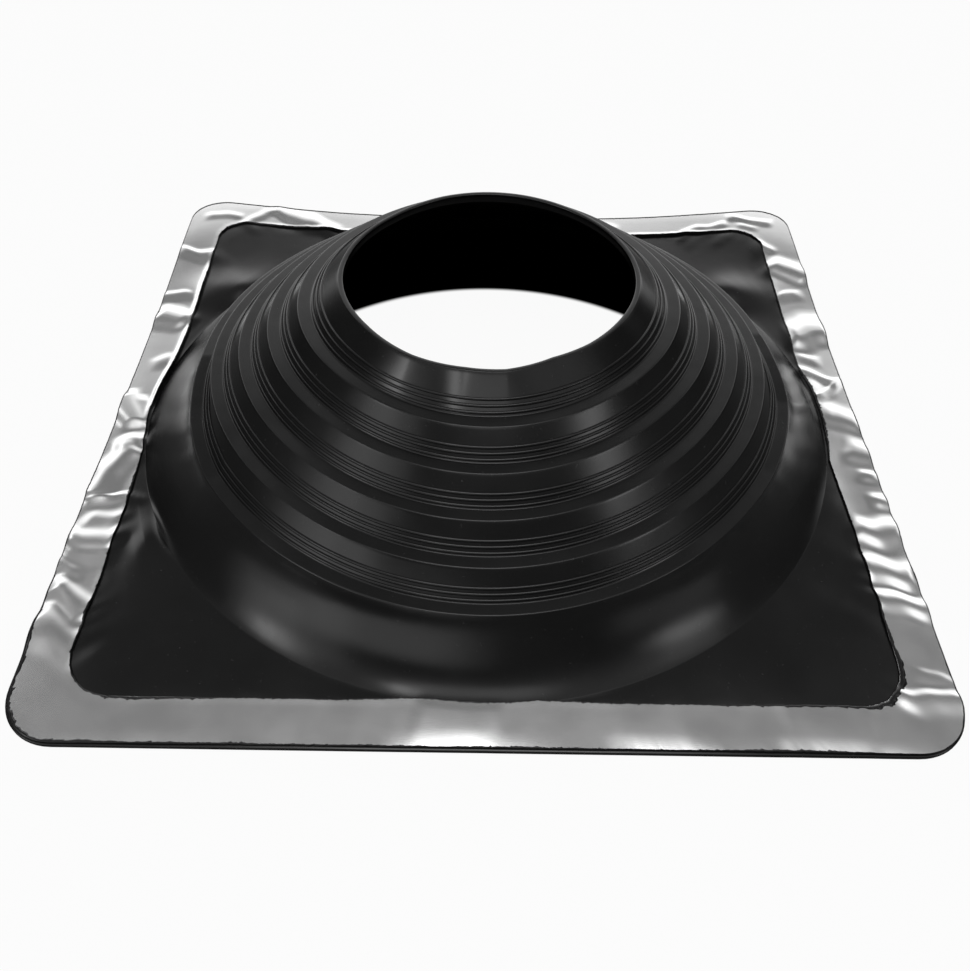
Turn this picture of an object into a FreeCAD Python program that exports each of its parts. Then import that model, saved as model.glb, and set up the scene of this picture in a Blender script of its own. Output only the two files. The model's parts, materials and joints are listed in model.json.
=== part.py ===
import FreeCAD, Part

import math
import os

import Sketcher

# Pipe flashing boot: a moulded rubber cone of stepped rings on a square
# flange, with a malleable metal strip bonded round the flange's edge.
# Frame: millimetres, +Z up along the pipe, origin at the centre of the
# flange's underside, sides of the flange along X and Y.

# name, value, what it is
SIZES = (
    ("base_width", 635.0, "side of the square flange"),
    ("base_corner", 40.0, "outer corner radius of the flange"),
    ("flange_thickness", 3.0, "rubber under the strip"),
    ("edge_lip", 2.0, "rubber that shows outside the strip"),
    ("strip_width", 33.0, "metal strip, seen from above"),
    ("strip_thickness", 1.2, "metal strip, sheet thickness"),
    ("strip_corner", 33.0, "inner corner radius of the strip"),
    ("strip_gap", 2.0, "strip to the foot of the skirt, at mid side"),
    ("wall", 3.2, "rubber wall of the cone, measured upright on a ledge"),
    ("mouth_radius", 109.0, "bore that grips the smallest pipe"),
    ("mouth_height", 145.0, "rim above the underside"),
    ("land_length", 6.0, "straight bore below the rim"),
    ("lip_wall", 3.5, "rubber round the bore at the rim"),
    ("lip_bevel", 0.6, "bevel of the rim's two edges"),
    ("collar_drop", 21.0, "rim down to the first ledge"),
    ("first_ring", 144.5, "outer radius of the first ledge"),
    ("ring_run", 25.0, "growth in radius from ledge to ledge"),
    ("ring_drop", 18.4, "fall from ledge to ledge"),
    ("ledge", 9.5, "flat width of a ledge"),
    ("skirt_margin", 31.5, "side of the flange to the foot of the skirt"),
    ("flare_run", 0.31, "where the skirt's end tangents cross, share of its run"),
    ("flare_fall", 0.645, "where they cross, share of its fall"),
    ("rib_pitch", 3.15, "height from trim rib to trim rib"),
    ("rib_crest", 2.1, "trim rib's crest above its own root"),
    ("rib_reach", 0.8, "trim rib's crest, out from the riser"),
    ("rib_root", 0.4, "depth of the trim ribs' root in the wall"),
)
RINGS = 5
RIBS = 3
SAME = 1e-4

doc = FreeCAD.newDocument("pipe_flashing_boot")
sheet = doc.addObject("Spreadsheet::Sheet", "sizes")
for row, (name, value, meaning) in enumerate(SIZES, start=1):
    sheet.set(f"A{row}", name)
    sheet.set(f"B{row}", str(value))
    sheet.setAlias(f"B{row}", name)
    sheet.set(f"C{row}", meaning)
doc.recompute()


# --- helpers ---------------------------------------------------------------

def value_of(body, expression):
    """Present value of an expression over the sheet."""
    result = body.evalExpression(expression)
    return float(getattr(result, "Value", result))


def new_body(label):
    body = doc.addObject("PartDesign::Body", label)
    body.Label = label
    return body


def new_sketch(body, name, plane, lift=None):
    """Sketch on one of the body's own origin planes, raised by an expression."""
    sketch = body.newObject("Sketcher::SketchObject", name)
    planes = {feature.Role: feature for feature in body.Origin.OriginFeatures}
    sketch.AttachmentSupport = [(planes[plane], "")]
    sketch.MapMode = "FlatFace"
    if lift:
        sketch.setExpression(".AttachmentOffset.Base.z", lift)
    return sketch


def bind(sketch, expression, kind, *elements):
    """Constraint of a kind whose size is bound to an expression."""
    index = sketch.addConstraint(
        Sketcher.Constraint(kind, *elements, value_of(sketch, expression)))
    sketch.setExpression(f"Constraints[{index}]", expression)


def place(sketch, element, end, across, up):
    """Pin one end of an element at two expressions, from the sketch's origin."""
    for kind, axis, expression in (("DistanceX", -2, across), ("DistanceY", -1, up)):
        where = value_of(sketch, expression)
        if abs(where) < SAME:
            sketch.addConstraint(Sketcher.Constraint("PointOnObject", element, end, axis))
        elif where > 0:
            bind(sketch, expression, kind, -1, 1, element, end)
        else:
            bind(sketch, f"-({expression})", kind, element, end, -1, 1)


def arc_between(start, stop, radius):
    """Anticlockwise arc under a half circle."""
    along = stop - start
    rise = math.sqrt(radius ** 2 - (along.Length / 2) ** 2)
    normal = FreeCAD.Vector(-along.y, along.x, 0).normalize()
    centre = (start + stop) / 2 + normal * rise
    angles = [math.atan2(p.y - centre.y, p.x - centre.x) for p in (start, stop)]
    circle = Part.Circle(centre, FreeCAD.Vector(0, 0, 1), radius)
    return Part.ArcOfCircle(circle, *angles)


def point_of(sketch, corner):
    return FreeCAD.Vector(value_of(sketch, corner[0]), value_of(sketch, corner[1]), 0)


def curve_through(sketch, start, stop, crossing):
    """Curve whose tangents at both ends meet at the crossing, which is bound too."""
    curve = Part.BSplineCurve()
    curve.buildFromPoles([start, point_of(sketch, crossing), stop], False, 2)
    element = sketch.addGeometry(curve, False)
    sketch.exposeInternalGeometry(element)
    middle_pole = element + 2
    place(sketch, middle_pole, 3, *crossing)
    return element


def draw_outline(sketch, corners):
    """Closed outline of straight lines from corner to corner. A corner is
    (across, up). With a radius as third entry an anticlockwise arc runs from
    it to the next corner, and with a (across, up) there a curve does, whose
    end tangents cross at that point."""
    points = [point_of(sketch, corner) for corner in corners]
    elements = []
    for index, corner in enumerate(corners):
        start, stop = points[index], points[(index + 1) % len(points)]
        if len(corner) == 2:
            elements.append(sketch.addGeometry(Part.LineSegment(start, stop), False))
        elif isinstance(corner[2], tuple):
            elements.append(curve_through(sketch, start, stop, corner[2]))
        else:
            arc = arc_between(start, stop, value_of(sketch, corner[2]))
            elements.append(sketch.addGeometry(arc, False))
            bind(sketch, corner[2], "Radius", elements[-1])
    for element, after in zip(elements, elements[1:] + elements[:1]):
        sketch.addConstraint(Sketcher.Constraint("Coincident", element, 2, after, 1))
    for corner, element in zip(corners, elements):
        place(sketch, element, 1, corner[0], corner[1])


def draw_circle(sketch, radius):
    """Circle about the sketch's origin."""
    circle = Part.Circle(FreeCAD.Vector(), FreeCAD.Vector(0, 0, 1), value_of(sketch, radius))
    element = sketch.addGeometry(circle, False)
    sketch.addConstraint(Sketcher.Constraint("Coincident", element, 3, -1, 1))
    bind(sketch, radius, "Radius", element)


def rounded_square(half, corner):
    """Corners of a square with rounded corners, anticlockwise from its lower side."""
    flat = f"({half} - {corner})"
    turns = (
        (f"-{flat}", f"-({half})", flat, f"-({half})"),
        (half, f"-{flat}", half, flat),
        (flat, half, f"-{flat}", half),
        (f"-({half})", flat, f"-({half})", f"-{flat}"),
    )
    corners = []
    for x_start, y_start, x_stop, y_stop in turns:
        corners.append((x_start, y_start))
        corners.append((x_stop, y_stop, corner))
    return corners


def revolve(body, name, sketch):
    feature = body.newObject("PartDesign::Revolution", name)
    feature.Profile = sketch
    feature.ReferenceAxis = (sketch, ["V_Axis"])
    feature.Angle = 360
    sketch.Visibility = False
    return feature


def circles_at(shape, rings):
    """Names of the round edges about Z with a (radius, height) of the list."""
    places = [(value_of(boot, radius), value_of(boot, height)) for radius, height in rings]
    names = []
    for index, edge in enumerate(shape.Edges, start=1):
        curve = edge.Curve
        if not isinstance(curve, Part.Circle):
            continue
        for radius, height in places:
            if abs(curve.Radius - radius) < SAME and abs(curve.Center.z - height) < SAME:
                names.append(f"Edge{index}")
    return names


# --- the boot's section, from the rim down ----------------------------------

RIM = ("sizes.mouth_radius + sizes.lip_wall", "sizes.mouth_height")
SKIRT_FOOT = ("sizes.base_width / 2 - sizes.skirt_margin", "sizes.flange_thickness")


def ledge_edge(ring):
    """Outer edge of a ledge."""
    return (f"sizes.first_ring + {ring} * sizes.ring_run",
            f"sizes.mouth_height - sizes.collar_drop - {ring} * sizes.ring_drop")


def riser_foot(ring):
    """Inner corner of a ledge, where the riser above comes down to it."""
    radius, height = ledge_edge(ring)
    return (f"{radius} - sizes.ledge", height)


def riser_top(ring):
    return RIM if ring == 0 else ledge_edge(ring - 1)


def riser_lean(ring):
    """Outward run of a riser for each unit of its fall."""
    (top_r, top_z), (foot_r, foot_z) = riser_top(ring), riser_foot(ring)
    return f"(({foot_r}) - ({top_r})) / (({top_z}) - ({foot_z}))"


def on_riser(ring, height, out):
    """Point at a height above a riser's foot, out from its face."""
    radius, foot = riser_foot(ring)
    return (f"{radius} - {riser_lean(ring)} * ({height}) + {out}", f"{foot} + {height}")


def inside(point):
    """The inner wall's copy of an outer corner: the same shape, set back and
    down so that ledge and riser come out equally thick."""
    radius, height = point
    half_angle = "atan(sizes.ring_drop / (sizes.ring_run - sizes.ledge)) / 2"
    return (f"{radius} - sizes.wall * tan({half_angle})", f"{height} - sizes.wall")


boot = new_body("rubber_boot")
section = new_sketch(boot, "boot_section", "XZ_Plane")
outer = [RIM]
inner = [("sizes.mouth_radius", "sizes.mouth_height"),
         ("sizes.mouth_radius", "sizes.mouth_height - sizes.land_length")]
for ring in range(RINGS):
    outer += [riser_foot(ring), ledge_edge(ring)]
    inner += [inside(riser_foot(ring)), inside(ledge_edge(ring))]
(last_r, last_z), (foot_r, foot_z) = outer[-1], SKIRT_FOOT
crossing = (f"{last_r} + sizes.flare_run * ({foot_r} - ({last_r}))",
            f"{last_z} - sizes.flare_fall * ({last_z} - {foot_z})")
outer[-1] += (crossing,)
outer += [SKIRT_FOOT, (foot_r, "0")]
inner_foot = (f"{foot_r} - sizes.wall / 2", "0")
draw_outline(section, outer + [inner_foot + (inside(crossing),)] + inner[::-1])
cone = revolve(boot, "stepped_cone", section)

# Square flange, open inside the skirt's foot.
flange_plan = new_sketch(boot, "flange_plan", "XY_Plane")
draw_outline(flange_plan, rounded_square("sizes.base_width / 2", "sizes.base_corner"))
draw_circle(flange_plan, inner_foot[0])
flange = boot.newObject("PartDesign::Pad", "flange")
flange.Profile = flange_plan
flange.setExpression("Length", "sizes.flange_thickness")

# Trim ribs: fine rings on the lower half of each riser, that a knife follows.
for ring in range(RINGS):
    top = f"{RIBS} * sizes.rib_pitch"
    teeth = [on_riser(ring, top, "-sizes.rib_root"), on_riser(ring, "0", "-sizes.rib_root")]
    for rib in range(RIBS):
        root = f"{rib} * sizes.rib_pitch"
        crest = f"{root} + sizes.rib_crest"
        teeth += [on_riser(ring, root, "0"), on_riser(ring, crest, "sizes.rib_reach")]
    rib_section = new_sketch(boot, f"trim_rib_section_{ring + 1}", "XZ_Plane")
    draw_outline(rib_section, teeth + [on_riser(ring, top, "0")])
    ribs = revolve(boot, f"trim_ribs_{ring + 1}", rib_section)

doc.recompute()
rim_edges = circles_at(ribs.Shape, [RIM, ("sizes.mouth_radius", "sizes.mouth_height")])
if len(rim_edges) != 2:
    raise RuntimeError(f"the rim has {len(rim_edges)} edges to bevel")
bevel = boot.newObject("PartDesign::Chamfer", "rim_bevel")
bevel.Base = (ribs, rim_edges)
bevel.setExpression("Size", "sizes.lip_bevel")


# --- metal strip: one frame on the flange's margin ----------------------------

strip = new_body("aluminium_strip")
outer_half = "(sizes.base_width / 2 - sizes.edge_lip)"
strip_plan = new_sketch(strip, "strip_plan", "XY_Plane", "sizes.flange_thickness")
draw_outline(strip_plan, rounded_square(outer_half, "(sizes.base_corner - sizes.edge_lip)"))
draw_outline(strip_plan, rounded_square(f"({outer_half} - sizes.strip_width)", "sizes.strip_corner"))
sheet_metal = strip.newObject("PartDesign::Pad", "strip_sheet")
sheet_metal.Profile = strip_plan
sheet_metal.setExpression("Length", "sizes.strip_thickness")

# The skirt's foot reaches over the strip's inner edge at the middle of each side.
clearance_plan = new_sketch(strip, "skirt_clearance_plan", "XY_Plane", "sizes.flange_thickness")
draw_circle(clearance_plan, f"{SKIRT_FOOT[0]} + sizes.strip_gap")
doc.recompute()
before = sheet_metal.Shape.Volume
clearance = strip.newObject("PartDesign::Pocket", "skirt_clearance")
clearance.Profile = clearance_plan
clearance.Reversed = True
clearance.setExpression("Length", "sizes.strip_thickness")
doc.recompute()
if clearance.Shape.Volume > before - SAME:
    raise RuntimeError("skirt_clearance cuts nothing")


# --- check and write ----------------------------------------------------------

for item in doc.Objects:
    if "Invalid" in item.State or "Error" in item.State:
        raise RuntimeError(f"{item.Name} failed: {item.State}")

os.makedirs("parts", exist_ok=True)
for body in (boot, strip):
    shape = body.Shape
    if shape.isNull() or not shape.isValid() or len(shape.Solids) != 1:
        raise RuntimeError(f"{body.Label} is not one valid solid")
    shape.exportStep(f"parts/{body.Label}.step")
    print(f"{body.Label}: {shape.Volume / 1000:.1f} cm3, {len(shape.Faces)} faces")
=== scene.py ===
"""Pipe flashing boot: a stepped rubber cone on a square flange, with a creased
soft metal strip bonded round the flange's edge.

Frame: metres, +Z up along the pipe, origin at the centre of the flange's
underside, sides of the flange along X and Y. Azimuths are in degrees, from +X
towards +Y, so the front of the boot is at -90.
"""
import json
import math

import bpy
import numpy as np
from mathutils import Matrix, Vector


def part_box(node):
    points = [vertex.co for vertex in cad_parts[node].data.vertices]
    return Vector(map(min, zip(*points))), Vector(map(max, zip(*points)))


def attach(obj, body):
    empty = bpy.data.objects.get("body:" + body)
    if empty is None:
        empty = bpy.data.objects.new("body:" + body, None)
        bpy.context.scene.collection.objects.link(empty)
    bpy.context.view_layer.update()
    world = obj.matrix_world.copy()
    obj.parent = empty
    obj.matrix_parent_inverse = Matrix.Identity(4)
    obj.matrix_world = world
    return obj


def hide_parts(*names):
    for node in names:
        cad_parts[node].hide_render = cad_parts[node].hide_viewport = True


bl_info = {
    "name": "Pipe Flashing Boot",
    "version": (1, 0, 0),
    "blender": (4, 5, 0),
    "location": "View3D > Sidebar > Flashing Boot",
    "description": "Dresses a rubber pipe flashing boot with its creased metal strip",
    "category": "Add Mesh",
}

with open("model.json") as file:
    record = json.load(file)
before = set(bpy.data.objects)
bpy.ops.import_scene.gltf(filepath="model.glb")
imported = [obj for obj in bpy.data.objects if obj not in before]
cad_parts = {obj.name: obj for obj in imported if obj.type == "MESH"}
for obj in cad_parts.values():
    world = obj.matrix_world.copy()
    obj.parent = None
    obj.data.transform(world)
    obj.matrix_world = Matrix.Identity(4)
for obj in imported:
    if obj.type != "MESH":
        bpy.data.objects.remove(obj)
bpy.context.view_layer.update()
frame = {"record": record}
BOOT_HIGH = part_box("rubber_boot")[1]
STRIP_LOW, STRIP_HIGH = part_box("aluminium_strip")
MOUNTS = {mount["name"]: mount for mount in frame["record"]["mounts"]}

BASE_HALF = BOOT_HIGH[0]
MOUTH_HEIGHT = BOOT_HIGH[2]
MOUTH_RADIUS = MOUNTS["pipe_mouth"]["dims"]["r_mm"] / 1000
FLANGE_TOP = STRIP_LOW[2]
STRIP_TOP = STRIP_HIGH[2]
STRIP_HALF = STRIP_HIGH[0]
RINGS = 5
RIBS = 3
TURN_STEPS = 700      # round the moulding and each rib
STRIP_STEPS = 1800    # round the strip and the rubber that laps over it
BEAD_SIDES = 8
PATH_RADIUS = 0.2     # circle that the moulding's section is swept along
FLANGE_SPAN = 0.1     # width of the flange while it is still round


# --- sizes and colours ---------------------------------

def length(name, default, description):
    """Distance in metres."""
    return bpy.props.FloatProperty(
        name=name, default=default, description=description,
        unit="LENGTH", subtype="DISTANCE", precision=4)


def number(name, default, description):
    """Plain number."""
    return bpy.props.FloatProperty(name=name, default=default, description=description, precision=3)


def angle(name, degrees, description):
    """Angle, given in degrees."""
    return bpy.props.FloatProperty(
        name=name, default=math.radians(degrees), description=description,
        unit="ROTATION", subtype="ANGLE")


def colour(name, default, description):
    """Linear colour."""
    return bpy.props.FloatVectorProperty(
        name=name, default=default, description=description,
        subtype="COLOR", size=3, min=0.0, max=1.0)


class BootSizes(bpy.types.PropertyGroup):
    """Section of the moulded boot."""
    collar_drop: length("Collar drop", 0.021, "Rim down to the first ledge")
    first_ring: length("First ledge radius", 0.1445, "Outer radius of the first ledge")
    ring_run: length("Ledge run", 0.025, "Growth in radius from ledge to ledge")
    ring_drop: length("Ledge drop", 0.0184, "Fall from ledge to ledge")
    ledge: length("Ledge width", 0.0095, "Flat width of a ledge")
    ledge_round: length("Ledge rounding", 0.0012, "Rounding of a ledge's outer edge")
    nook_round: length("Nook rounding", 0.0008, "Rounding where a riser meets its ledge")
    wall: length("Wall", 0.0032, "Rubber wall, measured upright on a ledge")
    lip_wall: length("Lip wall", 0.0035, "Rubber round the bore at the rim")
    land: length("Land", 0.006, "Straight bore below the rim")
    skirt_margin: length("Skirt margin", 0.0315, "Side of the flange to the foot of the skirt")
    foot_round: length("Foot fillet", 0.001, "Fillet between skirt and flange")
    edge_round: length("Edge rounding", 0.0008, "Rounding of the rim and of the flange's top edge")
    flare_run: number("Flare run", 0.31, "Where the flare's end tangents cross, as a share of its run")
    flare_fall: number("Flare fall", 0.645, "Where they cross, as a share of its fall")
    corner: length("Flange corner", 0.04, "Outer corner radius of the flange")
    rib_pitch: length("Rib pitch", 0.00315, "Height from trim rib to trim rib")
    rib_first: length("First rib", 0.0017, "Height of the lowest trim rib above its ledge")
    rib_size: length("Rib size", 0.0013, "Radius of a trim rib's bead")
    rib_sunk: length("Rib sunk", 0.0001, "How deep a trim rib's centre lies in the riser")


class StripSizes(bpy.types.PropertyGroup):
    """Soft metal strip."""
    width: length("Strip width", 0.033, "Strip seen from above")
    corner: length("Inner corner", 0.033, "Inner corner radius of the strip")
    gap: length("Skirt gap", 0.002, "Strip to the foot of the skirt")
    front_lap: length("Front lap", 0.0035, "How much nearer the strip comes to the skirt at the front")
    spread: length("Spread", 0.0011, "How much wider the handled strip lies at the sides and the back")
    ragged: length("Ragged edge", 0.0003, "Usual unevenness of the strip's cut edges")


class BootFinish(bpy.types.PropertyGroup):
    """Colours and gloss."""
    rubber: colour("Rubber", (0.0035, 0.0035, 0.0035), "Black rubber")
    rubber_worn: colour("Dusty rubber", (0.006, 0.006, 0.006), "Rubber with a trace of mould dust")
    # Ledge colour: dust together with a painted top light on the upward faces of the steps.
    rubber_ledge_dust_and_light: colour("Ledge dust", (0.008, 0.008, 0.008), "Dust that lies on the ledges")
    rubber_speck: colour("Specks", (0.04, 0.04, 0.04), "Fine pale specks on the rubber")
    rubber_gloss: number("Rubber roughness", 0.20, "Roughness of the moulded skin")
    metal: colour("Soft metal", (0.77, 0.77, 0.77), "Bare soft metal strip")
    metal_gloss: number("Metal roughness", 0.22, "Roughness of the metal strip")


class StageSettings(bpy.types.PropertyGroup):
    """Camera, floor and lamps."""
    eye_x: length("Eye across", -0.00433, "Camera place along X")
    eye_y: length("Eye away", -0.58820, "Camera place along Y")
    eye_z: length("Eye height", 0.55355, "Camera place along Z")
    pitch: angle("Pitch", 47.80, "Camera tilt below the horizon")
    roll: angle("Roll", 1.03, "Camera roll")
    yaw: angle("Yaw", -0.23, "Camera turn about Z")
    lens: number("Lens", 34.34, "Focal length in millimetres on a 36 mm sensor")
    floor: colour("Floor", (0.85, 0.85, 0.85), "Pale floor")
    floor_shine: colour("Floor in gloss", (0.22, 0.22, 0.22), "Floor as gloss shows it")
    sky: number("Sky", 0.40, "Strength of the even light all round")
    shine: number("Shine", 0.11, "How strongly gloss shows the lower part of the room")
    high_shine: number("High shine", 0.40, "How much more of it gloss shows higher up")
    horizon: number("Horizon", 1.65, "How much more of it gloss shows low behind the boot")
    ceiling: number("Ceiling", 1.0, "How much more of it gloss shows overhead")


# --- geometry helpers ----------------------------------

def blend_in(start, stop, value):
    """0 before start, 1 after stop, smooth in between."""
    share = np.clip((value - start) / (stop - start), 0.0, 1.0)
    return share * share * (3.0 - 2.0 * share)


def turn_from(azimuth, centre):
    """Difference of two azimuths, from -180 to 180 degrees."""
    return (azimuth - centre + 180.0) % 360.0 - 180.0


def near(azimuth, centre, reach):
    """1 at an azimuth, falling smoothly on both sides of it."""
    return np.exp(-0.5 * (turn_from(azimuth, centre) / reach) ** 2)


def by_azimuth(azimuth, table):
    """Value at each azimuth of a table in mm that runs from -180 to 180 degrees, in metres."""
    return np.interp(turn_from(azimuth, 0.0), *zip(*table)) / 1000


def square_reach(azimuth, half, corner):
    """Distance from the centre to a rounded square's outline, per azimuth."""
    radians = np.radians(azimuth)
    across, up = np.abs(np.cos(radians)), np.abs(np.sin(radians))
    reach = half / np.maximum(across, up)
    flat = half - corner
    along = flat * (across + up)
    inside_root = along ** 2 - (2 * flat ** 2 - corner ** 2)
    rounded = along + np.sqrt(np.maximum(inside_root, 0.0))
    off_flat = np.minimum(across, up) * reach > flat
    return np.where(off_flat, rounded, reach)


def rounded_path(corners):
    """Points of a path whose corners (across, up, radius, steps) are rounded."""
    points = []
    for index, (x, y, radius, steps) in enumerate(corners):
        here = Vector((x, y))
        if radius <= 0:
            points.append((x, y))
            continue
        before = Vector(corners[index - 1][:2]) - here
        after = Vector(corners[(index + 1) % len(corners)][:2]) - here
        half_angle = before.angle(after) / 2
        setback = radius / math.tan(half_angle)
        setback = min(setback, 0.45 * before.length, 0.45 * after.length)
        radius = setback * math.tan(half_angle)
        bisector = (before.normalized() + after.normalized()).normalized()
        centre = here + bisector * (radius / math.sin(half_angle))
        start = here + before.normalized() * setback - centre
        stop = here + after.normalized() * setback - centre
        sweep = start.angle_signed(stop)
        for step in range(steps + 1):
            spoke = start.copy()
            spoke.rotate(Matrix.Rotation(-sweep * step / steps, 2))
            points.append(tuple(centre + spoke))
    return points


def bezier(start, crossing, stop, steps):
    """Points on a curve whose end tangents cross at a point, ends left out."""
    points = []
    for step in range(1, steps):
        t = step / steps
        points.append(tuple(
            (1 - t) ** 2 * a + 2 * t * (1 - t) * b + t * t * c
            for a, b, c in zip(start, crossing, stop)))
    return points


def coordinates(mesh):
    """Places of a mesh's vertices."""
    flat = np.empty(len(mesh.vertices) * 3, np.float32)
    mesh.vertices.foreach_get("co", flat)
    return flat.reshape(-1, 3).astype(np.float64)


def set_coordinates(mesh, points):
    """Moves a mesh's vertices."""
    mesh.vertices.foreach_set("co", points.astype(np.float32).ravel())
    mesh.update()


def link(name, data):
    """New object in the scene."""
    thing = bpy.data.objects.new(name, data)
    bpy.context.scene.collection.objects.link(thing)
    return thing


def modelled(carrier, tree, inputs):
    """Mesh that a Geometry Nodes tree makes on a carrier, which goes away."""
    modifier = carrier.modifiers.new(tree.name, "NODES")
    modifier.node_group = tree
    sockets = {item.name: item.identifier for item in tree.interface.items_tree
               if item.item_type == "SOCKET" and item.in_out == "INPUT"}
    for name, value in inputs.items():
        modifier[sockets[name]] = value
    depsgraph = bpy.context.evaluated_depsgraph_get()
    mesh = bpy.data.meshes.new_from_object(carrier.evaluated_get(depsgraph), depsgraph=depsgraph)
    paint = next(made for made in mesh.materials if made)
    mesh.materials.clear()
    mesh.materials.append(paint)
    data = carrier.data
    bpy.data.objects.remove(carrier)
    (bpy.data.curves if isinstance(data, bpy.types.Curve) else bpy.data.meshes).remove(data)
    return mesh


def node_tree(name, inputs):
    """Empty Geometry Nodes tree with a geometry input and the named ones."""
    tree = bpy.data.node_groups.new(name, "GeometryNodeTree")
    tree.interface.new_socket("Geometry", in_out="INPUT", socket_type="NodeSocketGeometry")
    for label, kind in inputs:
        tree.interface.new_socket(label, in_out="INPUT", socket_type=kind)
    tree.interface.new_socket("Geometry", in_out="OUTPUT", socket_type="NodeSocketGeometry")
    entry = tree.nodes.new("NodeGroupInput")
    leave = tree.nodes.new("NodeGroupOutput")
    return tree, entry, leave


def sweep_and_paint(tree, path, profile, coat, leave):
    """Ends a tree: sweeps the profile along the path, realizes it and sets its material."""
    sweep = tree.nodes.new("GeometryNodeCurveToMesh")
    realize = tree.nodes.new("GeometryNodeRealizeInstances")
    paint = tree.nodes.new("GeometryNodeSetMaterial")
    tree.links.new(path, sweep.inputs["Curve"])
    tree.links.new(profile, sweep.inputs["Profile Curve"])
    tree.links.new(sweep.outputs["Mesh"], realize.inputs["Geometry"])
    tree.links.new(realize.outputs["Geometry"], paint.inputs["Geometry"])
    tree.links.new(coat, paint.inputs["Material"])
    tree.links.new(paint.outputs["Geometry"], leave.inputs["Geometry"])


def closed_grid(name, points):
    """Mesh of a grid of points that closes on itself in both directions."""
    around, across = points.shape[:2]
    index = np.arange(around * across).reshape(around, across)
    after = np.roll(index, -1, axis=0)
    faces = np.stack([index, np.roll(index, -1, axis=1),
                      np.roll(after, -1, axis=1), after], axis=-1).reshape(-1, 4)
    mesh = bpy.data.meshes.new(name)
    mesh.from_pydata(points.reshape(-1, 3), [], faces)
    mesh.update()
    return mesh


def smooth(mesh):
    """Smooth shading all over."""
    mesh.polygons.foreach_set("use_smooth", [True] * len(mesh.polygons))


# --- the shape that handling gave the boot -------------

def polar(points):
    """Azimuth, radius and height of points."""
    radius = np.hypot(points[:, 0], points[:, 1])
    azimuth = np.degrees(np.arctan2(points[:, 1], points[:, 0]))
    return azimuth, radius, points[:, 2]


def from_polar(azimuth, radius, height):
    """Points from azimuth, radius and height."""
    radians = np.radians(azimuth)
    return np.stack([radius * np.cos(radians), radius * np.sin(radians), height], axis=-1)


# How far the lowest ledge is pushed in towards the cone, by azimuth, in mm:
# the soft skirt has been squeezed at both sides.
LEDGE_PUSH = (
    (-180, 16), (-176, 14), (-168, 10), (-162, 6), (-156, 3), (-148, 0), (-28, 0), (-15, 2), (-9, 3),
    (-3, 7), (3, 11), (10, 14), (40, 8), (70, 0), (110, 0), (140, 8), (165, 15), (180, 16))

# How far the rim is out of round, by azimuth, in mm.
RIM_PUSH = (
    (-180, 0), (-142, 0), (-118, 2.0), (-98, 1.0), (-84, 2.0), (-66, -1.6), (-50, 0), (110, 0), (135, -1.5),
    (180, 0))

# How else the cone and the flange have given way, in metres.
LEAN = 0.0015        # the cone, moved to the left
LOBES = 0.0009       # four lobes over the whole cone
MORE_LOBES = 0.0014  # added to them at mid height
FLATTENED = 0.0025   # the front of the skirt's foot, drawn in
BACK_LIFT = 0.009    # the back corners, lifted
BACK_BOW = 0.016     # the middle of the back edge, drawn in

# Soft dents and swellings of the flange: x, y, reach in x, reach in y, height, in mm.
FLANGE_SWELLS = (
    (-243, 166, 26, 17, 5.2), (242, 172, 24, 16, 5.6), (-250, -138, 14, 40, 5.0), (-200, -235, 40, 24, 0.6),
    (262, -214, 24, 15, 1.6), (284, 20, 7, 22, 2.5), (266, -92, 12, 34, 1.8), (160, -262, 34, 12, 0.7))

# Folds of the metal strip and the flange under it, in mm: the crest runs from
# (x, y) to (x, y), then its height and how far it falls off to the right and
# to the left of that run.
FOLDS = (
    # left side, from the front
    (-318, -230, -276, -248, 3.7, 22, 26), (-312, -196, -282, -216, 2.7, 18, 15),
    (-318, -176, -302, -180, 1.3, 12, 9), (-311, -163, -280, -166, 1.2, 14, 6),
    (-314, -150, -280, -153, 3.1, 17, 19), (-308, -129, -286, -134, 1.3, 14, 12),
    (-314, -109, -276, -109, 1.1, 12, 5), (-311, -104, -293, -58, 3.0, 18, 19),
    (-305, -50, -284, -42, 2.0, 14, 11), (-318, 4, -300, -26, 3.6, 18, 23),
    (-296, 6, -285, -14, 1.2, 12, 7), (-316, 122, -290, 112, 3.1, 20, 21),
    (-317, 150, -293, 154, 1.0, 14, 7), (-314, 222, -280, 220, 1.5, 18, 9),
    (-302, 56, -290, 60, 0.9, 14, 10),
    # back
    (-232, 302, -168, 268, 2.4, 15, 19), (-262, 278, -240, 296, 0.9, 10, 10),
    (-300, 284, -270, 290, 0.8, 10, 8), (204, 270, 218, 262, 1.0, 9, 6), (206, 276, 246, 290, 1.1, 10, 7),
    (258, 298, 294, 290, 1.2, 10, 8), (240, 266, 254, 270, 0.8, 9, 6), (280, 252, 292, 240, 1.3, 10, 8),
    (-80, 288, -20, 286, 0.7, 10, 14), (60, 288, 130, 284, 0.7, 10, 14), (266, 282, 278, 280, 0.7, 9, 6),
    # right side, from the back
    (286, 212, 316, 196, 3.2, 20, 25), (290, 164, 304, 168, 1.2, 14, 8),
    (286, 104, 316, 108, 4.6, 24, 38), (290, 76, 300, 74, 0.9, 14, 8), (284, 57, 308, 44, 1.3, 12, 5),
    (292, 21, 308, 41, 1.3, 12, 5), (294, -4, 316, -10, 2.0, 20, 25), (300, -48, 316, -52, 2.0, 18, 24),
    (308, -74, 316, -76, 1.5, 12, 8), (308, -103, 317, -104, 2.0, 12, 12),
    (286, -130, 316, -134, 3.2, 20, 19), (284, -170, 314, -174, 3.2, 20, 21),
    (282, -198, 316, -202, 2.6, 16, 14), (296, -258, 312, -264, 0.7, 12, 7),
    (276, -272, 318, -280, 1.9, 16, 9),
    # front, along the strip
    (-44, -288, 4, -288, 0.6, 36, 40), (84, -288, 130, -288, 0.3, 36, 40),
    (196, -290, 250, -290, 0.7, 36, 40))


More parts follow.
